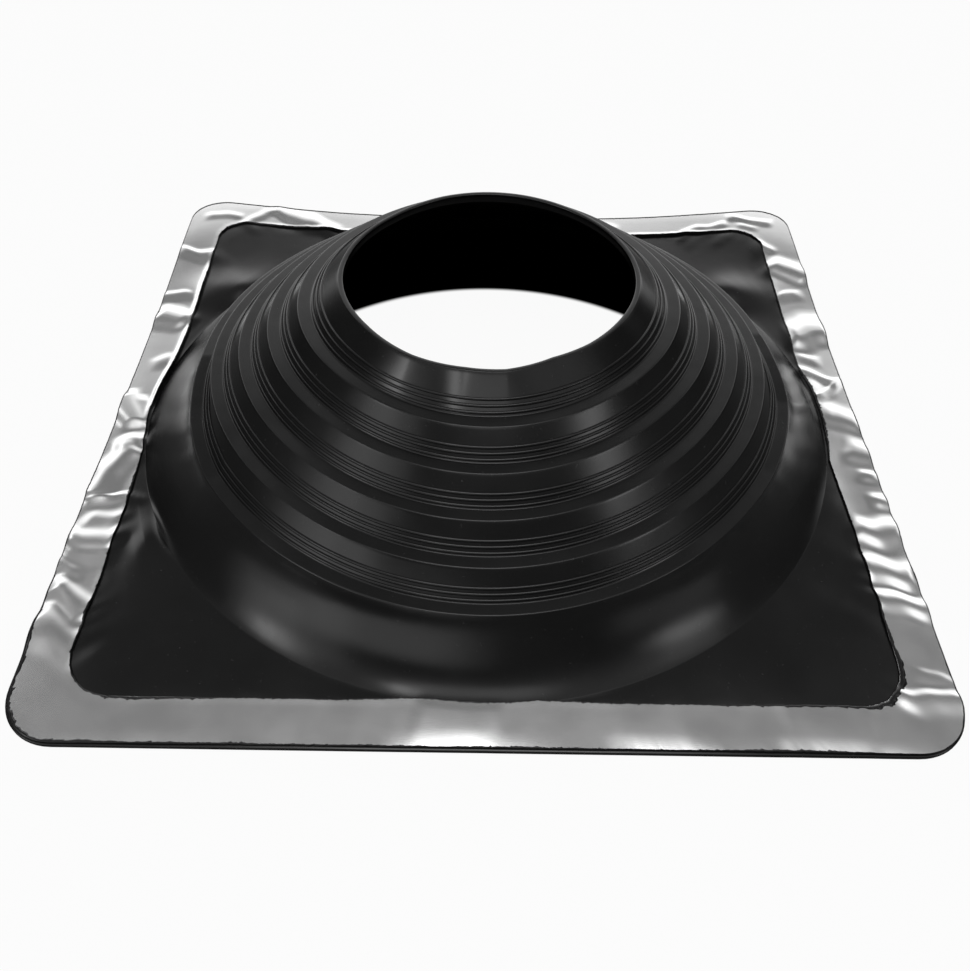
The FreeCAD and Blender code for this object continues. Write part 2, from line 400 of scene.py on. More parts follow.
def fold_field(points):
    """Height of the swells and folds at each point, in metres."""
    x, y = points[:, 0] * 1000, points[:, 1] * 1000
    field = np.zeros(len(points))
    # no crest is quite straight
    x, y = (x + 2.2 * np.sin(y / 13 + 1.3) + 0.5 * np.sin(y / 5 + x / 6),
            y + 2.6 * np.sin(x / 8 + y / 31) + 0.7 * np.sin(x / 3.6 + 2 + y / 17))
    for east, north, reach_x, reach_y, height in FLANGE_SWELLS:
        field += height * np.exp(-0.5 * (((x - east) / reach_x) ** 2 + ((y - north) / reach_y) ** 2))
    for x0, y0, x1, y1, height, right, left in FOLDS:
        run = math.hypot(x1 - x0, y1 - y0)
        along = ((x - x0) * (x1 - x0) + (y - y0) * (y1 - y0)) / run
        off = ((y - y0) * (x1 - x0) - (x - x0) * (y1 - y0)) / run
        crest = np.clip(1 - np.where(off > 0, off / left, -off / right), 0, 1)
        ends = blend_in(-9, 3, along) * (1 - blend_in(run - 3, run + 9, along))
        field += height * (crest - 0.12 * np.sin(2 * math.pi * crest)) * ends
    return field / 1000


def handled(points):
    """Points of the fresh moulding, moved to where handling left them."""
    sizes = bpy.context.scene.boot_sizes
    azimuth, radius, height = polar(points)
    foot = BASE_HALF - sizes.skirt_margin
    last_riser, last_ledge = (ledge_edge(sizes, ring)[0] for ring in (RINGS - 2, RINGS - 1))
    # radii where the rim's change ends, and where the lobes are full, fade and give way to the skirt
    collar_foot, lobes_full, lobes_fade, skirt_start = 0.135, 0.17, 0.225, 0.25
    on_cone = 1.0 - blend_in(foot, foot + 0.015, radius)
    push = by_azimuth(azimuth, LEDGE_PUSH)
    squeezed = (blend_in(last_riser, last_riser + 0.009, radius)
                * (1 - blend_in(last_ledge, foot - 0.004, radius)))
    lobes = blend_in(MOUTH_RADIUS, lobes_full, radius) * (1 - blend_in(lobes_fade, foot, radius))
    lobes = LOBES + MORE_LOBES * lobes
    flattened = near(azimuth, -92.0, 17.0) * blend_in(skirt_start, foot, radius) * on_cone
    rim = by_azimuth(azimuth, RIM_PUSH) * (1 - blend_in(MOUTH_RADIUS + 0.004, collar_foot, radius))
    rim = rim * blend_in(MOUTH_HEIGHT - 0.03, MOUTH_HEIGHT - 0.008, height)
    radius = (radius + rim - 0.7 * squeezed * push + on_cone * lobes * np.cos(np.radians(4 * azimuth))
              - FLATTENED * flattened)
    height = height + 0.5 * squeezed * push
    moved = from_polar(azimuth, radius, height)
    moved[:, 0] -= LEAN * on_cone

    back = blend_in(0.05, 0.30, moved[:, 1])
    sideways = np.abs(moved[:, 0]) / BASE_HALF
    outside = blend_in(foot - 0.02, foot + 0.12, radius)
    moved[:, 2] += back * outside * BACK_LIFT * sideways ** 2
    moved[:, 1] -= back * BACK_BOW * blend_in(foot - 0.03, BASE_HALF, radius) * (1 - sideways ** 2)
    moved[:, 2] += fold_field(moved) * blend_in(foot - 0.004, foot + 0.004, radius)
    return moved


# --- materials -----------------------------------------

def material(name):
    """Material with an empty node tree but for its output and shader."""
    made = bpy.data.materials.new(name)
    made.use_nodes = True
    nodes = made.node_tree.nodes
    nodes.clear()
    output = nodes.new("ShaderNodeOutputMaterial")
    shader = nodes.new("ShaderNodeBsdfPrincipled")
    made.node_tree.links.new(shader.outputs["BSDF"], output.inputs["Surface"])
    return made, made.node_tree, shader


def noise(tree, scale, detail, stretch=(1.0, 1.0, 1.0)):
    """Noise on Object coordinates, stretched along the axes."""
    place = tree.nodes.new("ShaderNodeTexCoord")
    mapping = tree.nodes.new("ShaderNodeMapping")
    mapping.inputs["Scale"].default_value = stretch
    texture = tree.nodes.new("ShaderNodeTexNoise")
    texture.inputs["Scale"].default_value = scale
    texture.inputs["Detail"].default_value = detail
    tree.links.new(place.outputs["Object"], mapping.inputs["Vector"])
    tree.links.new(mapping.outputs["Vector"], texture.inputs["Vector"])
    return texture.outputs["Fac"]


def spread(tree, value, low, high, to_low=0.0, to_high=1.0):
    """Value between low and high brought to a new range, smooth at its ends."""
    node = tree.nodes.new("ShaderNodeMapRange")
    node.interpolation_type = "SMOOTHSTEP"
    tree.links.new(value, node.inputs["Value"])
    for socket, limit in (("From Min", low), ("From Max", high), ("To Min", to_low), ("To Max", to_high)):
        node.inputs[socket].default_value = limit
    return node.outputs["Result"]


def mix_value(tree, share, low, high):
    """Low where the share is 0, high where it is 1."""
    node = tree.nodes.new("ShaderNodeMix")
    for socket, value in (("Factor", share), ("A", low), ("B", high)):
        tree.links.new(value, node.inputs[socket])
    return node.outputs["Result"]


def axis(tree, vector, name):
    """One axis of a vector."""
    node = tree.nodes.new("ShaderNodeSeparateXYZ")
    tree.links.new(vector, node.inputs["Vector"])
    return node.outputs[name]


def calculate(tree, operation, first, second=0.0):
    """Math node on one or two values, each a socket or a number."""
    node = tree.nodes.new("ShaderNodeMath")
    node.operation = operation
    for socket, value in zip(node.inputs, (first, second)):
        if isinstance(value, bpy.types.NodeSocket):
            tree.links.new(value, socket)
        else:
            socket.default_value = value
    return node.outputs["Value"]


def times(tree, first, second):
    """Product of two values."""
    return calculate(tree, "MULTIPLY", first, second)


def plus(tree, first, second):
    """Sum of two values."""
    return calculate(tree, "ADD", first, second)


def mix_colour(tree, share, first, second):
    """First colour where the share is 0, second where it is 1."""
    node = tree.nodes.new("ShaderNodeMix")
    node.data_type = "RGBA"
    tree.links.new(share, node.inputs["Factor"])
    for socket, value in (("A", first), ("B", second)):
        target = next(s for s in node.inputs if s.name == socket and s.type == "RGBA")
        if isinstance(value, bpy.types.NodeSocket):
            tree.links.new(value, target)
        else:
            target.default_value = (*value, 1.0)
    return next(s for s in node.outputs if s.type == "RGBA")


def bump(tree, height, distance, strength, under=None):
    """Normal that a height field gives, over another bump if there is one."""
    node = tree.nodes.new("ShaderNodeBump")
    node.inputs["Distance"].default_value = distance
    node.inputs["Strength"].default_value = strength
    tree.links.new(height, node.inputs["Height"])
    if under is not None:
        tree.links.new(under, node.inputs["Normal"])
    return node.outputs["Normal"]


def rubber_material(finish):
    """Black moulded rubber, with dust and a painted top light on the steps' upward faces, and fine pale
    specks.
    """
    made, tree, shader = material("moulded_rubber")
    place = tree.nodes.new("ShaderNodeTexCoord")
    cloud = spread(tree, noise(tree, 14.0, 6.0), 0.35, 0.75)
    skin_colour = mix_colour(tree, cloud, finish.rubber, finish.rubber_worn)
    facing_up = spread(tree, axis(tree, place.outputs["Normal"], "Z"), 0.75, 0.97)
    on_steps = spread(tree, axis(tree, place.outputs["Object"], "Z"), 0.040, 0.048)
    mottle = spread(tree, noise(tree, 45.0, 5.0), 0.4, 0.68, 0.25, 1.0)
    # Dust and painted top light: the upward faces of the steps are made lighter.
    dust = times(tree, times(tree, facing_up, on_steps), mottle)
    dusted_and_lit = mix_colour(tree, dust, skin_colour, finish.rubber_ledge_dust_and_light)
    specks = spread(tree, noise(tree, 420.0, 3.0), 0.68, 0.78)
    tree.links.new(mix_colour(tree, specks, dusted_and_lit, finish.rubber_speck), shader.inputs["Base Color"])
    gloss = spread(tree, noise(tree, 9.0, 5.0), 0.3, 0.7,
                   finish.rubber_gloss - 0.05, finish.rubber_gloss + 0.07)
    tree.links.new(gloss, shader.inputs["Roughness"])
    skin = bump(tree, noise(tree, 1400.0, 2.0), distance=0.000006, strength=0.5)
    waves = bump(tree, noise(tree, 30.0, 2.0), distance=0.0003, strength=0.5, under=skin)
    tree.links.new(waves, shader.inputs["Normal"])
    return made


def metal_material(finish):
    """Soft metal sheet, smudged and finely scratched."""
    made, tree, shader = material("creased_metal")
    shader.inputs["Metallic"].default_value = 1.0
    smudge = spread(tree, noise(tree, 22.0, 5.0), 0.3, 0.75)
    darker = tuple(0.94 * value for value in finish.metal)
    tree.links.new(mix_colour(tree, smudge, finish.metal, darker), shader.inputs["Base Color"])
    gloss = spread(tree, noise(tree, 35.0, 5.0), 0.3, 0.7,
                   finish.metal_gloss - 0.02, finish.metal_gloss + 0.03)
    tree.links.new(gloss, shader.inputs["Roughness"])
    scratch = bump(tree, noise(tree, 240.0, 2.0, (1.0, 9.0, 1.0)), distance=0.00004, strength=0.4)
    dents = bump(tree, noise(tree, 40.0, 2.0), distance=0.0003, strength=0.2, under=scratch)
    tree.links.new(dents, shader.inputs["Normal"])
    return made


# --- the boot ------------------------------------------

def ledge_edge(sizes, ring):
    """Radius and height of a ledge's outer edge."""
    return (sizes.first_ring + ring * sizes.ring_run,
            MOUTH_HEIGHT - sizes.collar_drop - ring * sizes.ring_drop)


def riser(sizes, ring):
    """Top and foot of the riser above a ledge."""
    radius, height = ledge_edge(sizes, ring)
    top = (MOUTH_RADIUS + sizes.lip_wall, MOUTH_HEIGHT) if ring == 0 else ledge_edge(sizes, ring - 1)
    return top, (radius - sizes.ledge, height)


def between(start, stop, share):
    """Point at a share of the way."""
    return tuple(a + (b - a) * share for a, b in zip(start, stop))


# Extra loops across a riser, a ledge, the flange's top and its underside, as shares of each.
RISER_LOOPS = (0.09, 0.5, 0.94)
LEDGE_LOOPS = (0.14, 0.84)
TOP_LOOPS = (0.08, 0.17, 0.27, 0.37, 0.47, 0.57, 0.67, 0.77, 0.86, 0.94)
UNDER_LOOPS = (0.77, 0.57, 0.37, 0.17)


def boot_section(sizes):
    """Closed section of the boot, from the bore over the rim, down the steps,
    out along the flange, back under it and up the inside."""
    foot = BASE_HALF - sizes.skirt_margin
    lean = math.atan2(sizes.ring_drop, sizes.ring_run - sizes.ledge) / 2
    shift = (-sizes.wall * math.tan(lean), -sizes.wall)
    rim = (MOUTH_RADIUS + sizes.lip_wall, MOUTH_HEIGHT)
    outer = [(MOUTH_RADIUS, MOUTH_HEIGHT, sizes.edge_round, 3), (*rim, sizes.edge_round, 3)]
    inner = [(MOUTH_RADIUS, MOUTH_HEIGHT - sizes.land)]
    for ring in range(RINGS):
        top, low = riser(sizes, ring)
        edge = ledge_edge(sizes, ring)
        outer += [(*between(top, low, share), 0, 0) for share in RISER_LOOPS]
        outer.append((*low, sizes.nook_round, 2))
        outer += [(*between(low, edge, share), 0, 0) for share in LEDGE_LOOPS]
        outer.append((*edge, sizes.ledge_round, 4))
        inner_low, inner_edge = (tuple(a + b for a, b in zip(point, shift)) for point in (low, edge))
        inner += [inner_low, inner_edge]
    last, ground = outer[-1][:2], (foot, FLANGE_TOP)
    crossing = (last[0] + sizes.flare_run * (ground[0] - last[0]),
                last[1] - sizes.flare_fall * (last[1] - ground[1]))
    outer += [(*point, 0, 0) for point in bezier(last, crossing, ground, 12)]
    outer.append((*ground, sizes.foot_round, 4))
    outer += [(foot + FLANGE_SPAN * share, FLANGE_TOP, 0, 0) for share in TOP_LOOPS]
    outer += [(foot + FLANGE_SPAN, FLANGE_TOP, sizes.edge_round, 3),
              (foot + FLANGE_SPAN, 0, sizes.edge_round / 2, 2)]
    outer += [(foot + FLANGE_SPAN * share, 0, 0, 0) for share in UNDER_LOOPS]
    inner_foot = (foot - sizes.wall / 2, 0.0)
    inner_crossing = tuple(a + b for a, b in zip(crossing, shift))
    inside = [inner_foot] + bezier(inner_foot, inner_crossing, inner[-1], 6) + inner[::-1]
    return rounded_path(outer + [(*point, 0, 0) for point in inside])


def turning_tree():
    """Turns a section about Z. The section's own X is measured from the path."""
    tree, entry, leave = node_tree("turned_section", [
        ("Steps", "NodeSocketInt"), ("Path Radius", "NodeSocketFloat"), ("Material", "NodeSocketMaterial")])
    path = tree.nodes.new("GeometryNodeCurvePrimitiveCircle")
    tree.links.new(entry.outputs["Steps"], path.inputs["Resolution"])
    tree.links.new(entry.outputs["Path Radius"], path.inputs["Radius"])
    sweep_and_paint(tree, path.outputs["Curve"], entry.outputs["Geometry"], entry.outputs["Material"], leave)
    return tree


def spread_flange(points, sizes):
    """Brings the round flange of the turned section out to its square outline."""
    azimuth, radius, height = polar(points)
    foot = BASE_HALF - sizes.skirt_margin
    share = np.clip((radius - foot) / FLANGE_SPAN, 0.0, 1.0)
    reach = square_reach(azimuth, BASE_HALF, sizes.corner)
    radius = np.where(radius > foot, foot + share * (reach - foot), radius)
    return from_polar(azimuth, radius, height)


def pressed_in(points):
    """Lets the flange sink a little where the strip covers it."""
    sizes, strip = bpy.context.scene.boot_sizes, bpy.context.scene.strip_sizes
    sink, skin = 0.0011, 0.0002
    azimuth, radius, height = polar(points)
    outer = square_reach(azimuth, STRIP_HALF, sizes.corner - (BASE_HALF - STRIP_HALF))
    inner = square_reach(azimuth, STRIP_HALF - strip.width, strip.corner)
    inner = np.maximum(inner, BASE_HALF - sizes.skirt_margin)
    covered = blend_in(0.003, 0.008, radius - inner) * blend_in(0.001, 0.004, outer - radius)
    points[:, 2] -= np.where(height > FLANGE_TOP - skin, sink * covered, 0.0)
    return points


class OBJECT_OT_boot_moulding(bpy.types.Operator):
    """Add the stepped rubber cone and its flange, one moulding"""
    bl_idname = "object.boot_moulding"
    bl_label = "Boot Moulding"

    def execute(self, context):
        sizes = context.scene.boot_sizes
        section = boot_section(sizes)
        curve = bpy.data.curves.new("boot_section", "CURVE")
        curve.dimensions = "3D"
        spline = curve.splines.new("POLY")
        spline.points.add(len(section) - 1)
        for point, (radius, height) in zip(spline.points, section):
            point.co = (radius - PATH_RADIUS, -height, 0.0, 1.0)
        spline.use_cyclic_u = True
        mesh = modelled(link("boot_section", curve), turning_tree(), {
            "Steps": TURN_STEPS, "Path Radius": PATH_RADIUS,
            "Material": bpy.data.materials["moulded_rubber"]})
        set_coordinates(mesh, handled(pressed_in(spread_flange(coordinates(mesh), sizes))))
        smooth(mesh)
        moulding = link("boot_moulding", mesh)
        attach(moulding, "root")
        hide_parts("rubber_boot")
        return {"FINISHED"}


def rib_tree():
    """Bead rings: one for each point, at its height and ring_radius."""
    tree, entry, leave = node_tree("bead_rings", [
        ("Steps", "NodeSocketInt"), ("Bead", "NodeSocketFloat"), ("Material", "NodeSocketMaterial")])
    nodes, links = tree.nodes, tree.links
    ring = nodes.new("GeometryNodeCurvePrimitiveCircle")
    ring.inputs["Radius"].default_value = 1.0
    links.new(entry.outputs["Steps"], ring.inputs["Resolution"])
    radius = nodes.new("GeometryNodeInputNamedAttribute")
    radius.data_type = "FLOAT"
    radius.inputs["Name"].default_value = "ring_radius"
    scale = nodes.new("ShaderNodeCombineXYZ")
    links.new(radius.outputs["Attribute"], scale.inputs["X"])
    links.new(radius.outputs["Attribute"], scale.inputs["Y"])
    scale.inputs["Z"].default_value = 1.0
    place = nodes.new("GeometryNodeInstanceOnPoints")
    links.new(entry.outputs["Geometry"], place.inputs["Points"])
    links.new(ring.outputs["Curve"], place.inputs["Instance"])
    links.new(scale.outputs["Vector"], place.inputs["Scale"])
    # realized before the sweep, so that a ring's scale doesn't squash its bead
    rings = nodes.new("GeometryNodeRealizeInstances")
    links.new(place.outputs["Instances"], rings.inputs["Geometry"])
    bead = nodes.new("GeometryNodeCurvePrimitiveCircle")
    bead.inputs["Resolution"].default_value = BEAD_SIDES
    links.new(entry.outputs["Bead"], bead.inputs["Radius"])
    sweep_and_paint(tree, rings.outputs["Geometry"], bead.outputs["Curve"], entry.outputs["Material"], leave)
    return tree


class OBJECT_OT_trim_ribs(bpy.types.Operator):
    """Add the fine trim ribs on the lower half of each riser"""
    bl_idname = "object.trim_ribs"
    bl_label = "Trim Ribs"

    def execute(self, context):
        sizes = context.scene.boot_sizes
        places = []
        for ring in range(RINGS):
            top, low = riser(sizes, ring)
            for rib in range(RIBS):
                height = sizes.rib_first + rib * sizes.rib_pitch
                radius, level = between(low, top, height / (top[1] - low[1]))
                lean = math.atan2(top[1] - low[1], low[0] - top[0])
                places.append((radius - sizes.rib_sunk * math.sin(lean),
                               level - sizes.rib_sunk * math.cos(lean)))
        mesh = bpy.data.meshes.new("rib_places")
        mesh.from_pydata([(0, 0, level) for radius, level in places], [], [])
        radii = mesh.attributes.new("ring_radius", "FLOAT", "POINT")
        radii.data.foreach_set("value", [radius for radius, level in places])
        made = modelled(link("rib_places", mesh), rib_tree(), {
            "Steps": TURN_STEPS, "Bead": sizes.rib_size, "Material": bpy.data.materials["moulded_rubber"]})
        set_coordinates(made, handled(coordinates(made)))
        smooth(made)
        ribs = link("trim_ribs", made)
        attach(ribs, "root")
        return {"FINISHED"}


# --- the strip -----------------------------------------

RAGGED_SEED = 7

# How far the strip's inner edge is turned up, by azimuth, in mm, and how wide it is turned.
TURNED_UP = (
    (-180, 1.5), (-175, 0.2), (0, 0), (24, 0), (48, 0.3), (52, 1.2), (75, 1.4), (84, 0.6), (96, 0.6),
    (110, 1.2), (124, 1.0), (130, 0.2), (141, 0.3), (146, 1.5), (168, 1.8), (180, 1.5))
TURNED_WIDTH = 0.006


def ragged(azimuth, size):
    """Uneven cut of an edge, per azimuth: fine nicks on a slow wander."""
    picker = np.random.default_rng(RAGGED_SEED)
    wander = np.zeros(len(azimuth))
    for waves, share in ((7, 0.5), (19, 0.4), (53, 0.35), (131, 0.3), (311, 0.25)):
        phase = picker.uniform(0, 2 * math.pi)
        wander += share * np.sin(np.radians(azimuth) * waves + phase) * picker.uniform(0.7, 1.3)
    nicks = picker.random(len(azimuth)) ** 14
    return size * (wander + 2.0 * nicks)


def strip_edges(azimuth, sizes, strip):
    """Inner and outer radius of the strip, per azimuth."""
    foot = BASE_HALF - sizes.skirt_margin
    outer = square_reach(azimuth, STRIP_HALF, sizes.corner - (BASE_HALF - STRIP_HALF))
    inner = square_reach(azimuth, STRIP_HALF - strip.width, strip.corner)
    inner = np.maximum(inner, foot + strip.gap - strip.front_lap * near(azimuth, -90.0, 20.0))
    in_corner = blend_in(0.30, 0.37, inner)
    inner = inner + ragged(azimuth, strip.ragged) * (0.5 + in_corner)
    outer = outer + strip.spread * blend_in(30, 55, np.abs(turn_from(azimuth, -90.0)))
    outer = outer - np.abs(ragged(azimuth + 90, 0.6 * strip.ragged))
    return inner, outer


# How far the strip's outer edge is pressed down, by azimuth, in mm, and how wide it is pressed.
PRESSED = (
    (-180, 0.2), (-150, 0.1), (-124, 0.3), (-116, 0.0), (-102, 0.0), (-97, 0.9), (-92, 1.05), (-87, 0.5),
    (-81, 0.0), (-77, 0.1), (-73, 0.9), (-68, 0.9), (-64, 0.2), (-60, 0.3), (-56, 1.15), (-51, 1.05),
    (-47, 0.0), (0, 0.2), (90, 0.1), (180, 0.2))
PRESSED_WIDTH = 0.014

# Loops across the strip, as shares of its width.
STRIP_LOOPS = np.concatenate([[0, 0.008, 0.03], np.linspace(0.07, 0.93, 16), [0.97, 0.992, 1]])


def curled(azimuth, from_edge):
    """Lift of the strip where its inner edge is turned up."""
    return by_azimuth(azimuth, TURNED_UP) * (1 - blend_in(0.0, TURNED_WIDTH, from_edge))


class OBJECT_OT_metal_strip(bpy.types.Operator):
    """Add the creased soft metal strip round the flange"""
    bl_idname = "object.metal_strip"
    bl_label = "Metal Strip"

    def execute(self, context):
        sizes, strip = context.scene.boot_sizes, context.scene.strip_sizes
        azimuth = np.arange(STRIP_STEPS) * 360.0 / STRIP_STEPS
        inner, outer = (edge[:, None] for edge in strip_edges(azimuth, sizes, strip))
        radius = inner + (outer - inner) * STRIP_LOOPS
        azimuth = np.repeat(azimuth, len(STRIP_LOOPS))
        top = from_polar(azimuth, radius.ravel(), np.full(radius.size, STRIP_TOP))
        under = top.copy()
        under[:, 2] = FLANGE_TOP
        curl = curled(azimuth, (radius - inner).ravel())
        near_rim = np.clip(1 - (outer - radius).ravel() / PRESSED_WIDTH, 0, 1)
        top[:, 2] += curl - by_azimuth(azimuth, PRESSED) * near_rim ** 2
        under[:, 2] += curl
        top, under = (handled(side).reshape(*radius.shape, 3) for side in (top, under))
        mesh = closed_grid("metal_strip", np.concatenate([top, under[:, ::-1]], axis=1))
        smooth(mesh)
        mesh.materials.append(bpy.data.materials["creased_metal"])
        metal = link("metal_strip", mesh)
        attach(metal, "root")
        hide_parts("aluminium_strip")
        return {"FINISHED"}


# Width of the torn rubber that laps over the strip's inner edge, by azimuth, in mm.
FLASH_WIDTH = (
    (-180, 0.2), (-168, 0.3), (-164, 1.4), (-160, 1.5), (-157, 0.2), (-146, 0.4), (-141, 1.3), (-138, 0.6),
    (-134, 1.2), (-130, 2.2), (-126, 1.6), (-122, 0.5), (-104, 0.7), (-90, 0.9), (-72, 0.7), (-56, 1.0),
    (-50, 2.6), (-46, 4.2), (-42, 3.6), (-38, 2.2), (-34, 0.6), (-12, 0.3), (-2, 1.5), (6, 2.2), (12, 0.5),
    (40, 0.2), (60, 0.4), (110, 0.2), (132, 1.0), (140, 0.2), (180, 0.2))

# Width of the rubber that laps over the strip's outer edge, by azimuth, in mm.
LIP_WIDTH = (
    (-180, 0.1), (-152, 0.1), (-146, 1.0), (-141, 2.6), (-136, 3.2), (-131, 2.2), (-126, 0.8), (-118, 1.2),
    (-110, 0.4), (-100, 1.0), (-96, 0.3), (-88, 0.8), (-84, 1.3), (-78, 0.5), (-70, 0.3), (-62, 1.2),
    (-55, 1.3), (-50, 0.5), (-44, 0.3), (-38, 0.7), (-30, 0.1), (0, 0.1), (20, 0.4), (90, 0.2), (180, 0.1))


# Section of that rubber: offset from the strip's edge, share of the lap's width, and height.
LAP_SECTION = (
    (-0.0007, 0.0, FLANGE_TOP - 0.0003), (-0.0003, 0.0, FLANGE_TOP + 0.0007),
    (0.0, 0.1, STRIP_TOP + 0.0004), (0.0, 0.6, STRIP_TOP + 0.0005), (0.0, 1.0, STRIP_TOP + 0.0001),
    (0.0, 0.9, STRIP_TOP - 0.0003), (0.0, 0.0, FLANGE_TOP - 0.0003))
LEAST_LAP = 0.0001


def lapped_rubber(name, edge_of, widths, away):
    """Torn rubber that laps over one edge of the strip. It reaches outward from
    the edge where away is 1, and inward where it is -1."""
    sizes, strip = bpy.context.scene.boot_sizes, bpy.context.scene.strip_sizes
    azimuth = np.arange(STRIP_STEPS) * 360.0 / STRIP_STEPS
    inner, outer = strip_edges(azimuth, sizes, strip)
    edge = inner if edge_of == "inner" else outer
    torn = 1 + 0.8 * ragged(azimuth * 3, 0.5)
    width = np.maximum(by_azimuth(azimuth, widths) * torn, LEAST_LAP)
    rows = []
    for offset, share, height in LAP_SECTION[::away]:
        radius = edge + away * (offset + share * width)
        points = from_polar(azimuth, radius, np.full(STRIP_STEPS, height))
        points[:, 2] += curled(azimuth, np.maximum(radius - inner, 0.0)) * (height > FLANGE_TOP)
        rows.append(handled(points))
    mesh = closed_grid(name, np.stack(rows, axis=1))
    smooth(mesh)
    mesh.materials.append(bpy.data.materials["moulded_rubber"])
    rubber = link(name, mesh)
    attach(rubber, "root")


class OBJECT_OT_lapped_rubber(bpy.types.Operator):
    """Add the torn rubber that laps over both edges of the strip"""
    bl_idname = "object.lapped_rubber"
    bl_label = "Lapped Rubber"

    def execute(self, context):
        lapped_rubber("rubber_flash", "inner", FLASH_WIDTH, 1)
        lapped_rubber("rubber_lip", "outer", LIP_WIDTH, -1)
        return {"FINISHED"}


# --- finishes and stage --------------------------------

class OBJECT_OT_boot_finishes(bpy.types.Operator):
    """Make the rubber and metal materials"""
    bl_idname = "object.boot_finishes"
    bl_label = "Boot Finishes"

    def execute(self, context):
        rubber_material(context.scene.boot_finish)
        metal_material(context.scene.boot_finish)
        return {"FINISHED"}


def add_camera(stage):
    """Camera from its place and its three angles."""
    pitch, roll, yaw = stage.pitch, stage.roll, stage.yaw
    ahead = Vector((0, math.cos(pitch), -math.sin(pitch)))
    up = Vector((0, math.sin(pitch), math.cos(pitch)))
    right = Vector((1, 0, 0))
    right, up = (right * math.cos(roll) + up * math.sin(roll),
                 up * math.cos(roll) - right * math.sin(roll))
    axes = Matrix((right, up, -ahead)).transposed()
    turned = Matrix.Rotation(yaw, 3, "Z") @ axes
    camera = bpy.data.cameras.new("camera")
    camera.lens = stage.lens
    camera.sensor_width = 36.0
    seat = link("camera", camera)
    seat.matrix_world = Matrix.Translation((stage.eye_x, stage.eye_y, stage.eye_z)) @ turned.to_4x4()
    bpy.context.scene.camera = seat


# name, azimuth and elevation in degrees, distance, width and height, power
LAMPS = (
    ("overhead", -90, 82, 1.7, (0.7, 0.5), 2.6),
    ("left_window", -151, 22, 1.7, (0.45, 0.8), 0.6),
    ("right_window", -30, 30, 1.7, (0.45, 0.5), 0.5),
)

# Pale cards of the room that only gloss shows: turn from the front and elevation in degrees,
# each with its half width and the width of its soft edge, and the strength at the middle.
CARDS = (
    (-2, 17, 14, 47, 3, 5, 0.95),       # in front of the boot
    (-27, 2, 4, 50, 2, 4, 4.0),         # left of it
    (-67, 2, 5, 36, 3, 5, 4.3),         # lamps behind the left window
    (-60, 9, 15, 15, 20, 12, 0.60),     # left window
    (-31, 14, 26, 8, 9, 12, 0.80),      # its glow
    (62, 4, 8, 26, 2, 4, 3.5),          # right window
    (56, 9, 10, 42, 4, 6, 0.16),        # its sheen higher up
    (58, 12, 8, 2, 9, 8, 0.35),         # and lower down
    (123, 4, 14, 28, 3, 12, 0.45),      # far right
    (130, 3, 6, 36, 3, 6, 0.50),
    (-130, 4, 6, 36, 3, 6, 1.40),       # far left
)


def add_lamp(name, turn, rise, far, size, power):
    """Area lamp that looks at the boot from an azimuth and elevation."""
    lamp = bpy.data.lights.new(name, "AREA")
    lamp.shape = "RECTANGLE"
    lamp.size, lamp.size_y = size
    lamp.energy = power
    seat = link(name, lamp)
    level = far * math.cos(math.radians(rise))
    place = Vector((level * math.cos(math.radians(turn)), level * math.sin(math.radians(turn)),
                    far * math.sin(math.radians(rise))))
    seat.location = place
    seat.rotation_euler = (-place).to_track_quat("-Z", "Y").to_euler()


def background_share(tree):
    """1 for the rays that should see a white background."""
    path = tree.nodes.new("ShaderNodeLightPath")
    return calculate(tree, "MAXIMUM", path.outputs["Is Camera Ray"], path.outputs["Is Transmission Ray"])


def mix_shaders(tree, share, first, second, output):
    """Sends the first shader to the output where the share is 0, the second where it is 1."""
    mix = tree.nodes.new("ShaderNodeMixShader")
    for value, socket in zip((share, first, second), mix.inputs):
        tree.links.new(value, socket)
    tree.links.new(mix.outputs["Shader"], output.inputs["Surface"])


def band(tree, value, centre, half, soft, strength):
    """The strength up to a half width from the centre, gone past a soft edge."""
    off = calculate(tree, "ABSOLUTE", calculate(tree, "SUBTRACT", value, centre))
    return spread(tree, off, half, half + soft, strength, 0.0)


# The room that gloss shows: where each part of it begins and ends, as sines of the elevation,
# or of the direction towards the back for what lies behind the boot.
WALL_BAND = (0.37, 0.72)
ROOM_BAND = (0.42, 0.88)
CEILING_BAND = (0.91, 0.98)
BEHIND_BAND = (0.0, 0.5)
WALL_HALF, WALL_EDGE = 0.60, 0.20    # how far the wall behind reaches to either side
ROOM_BEHIND = 0.45                   # how bright the room is behind the boot


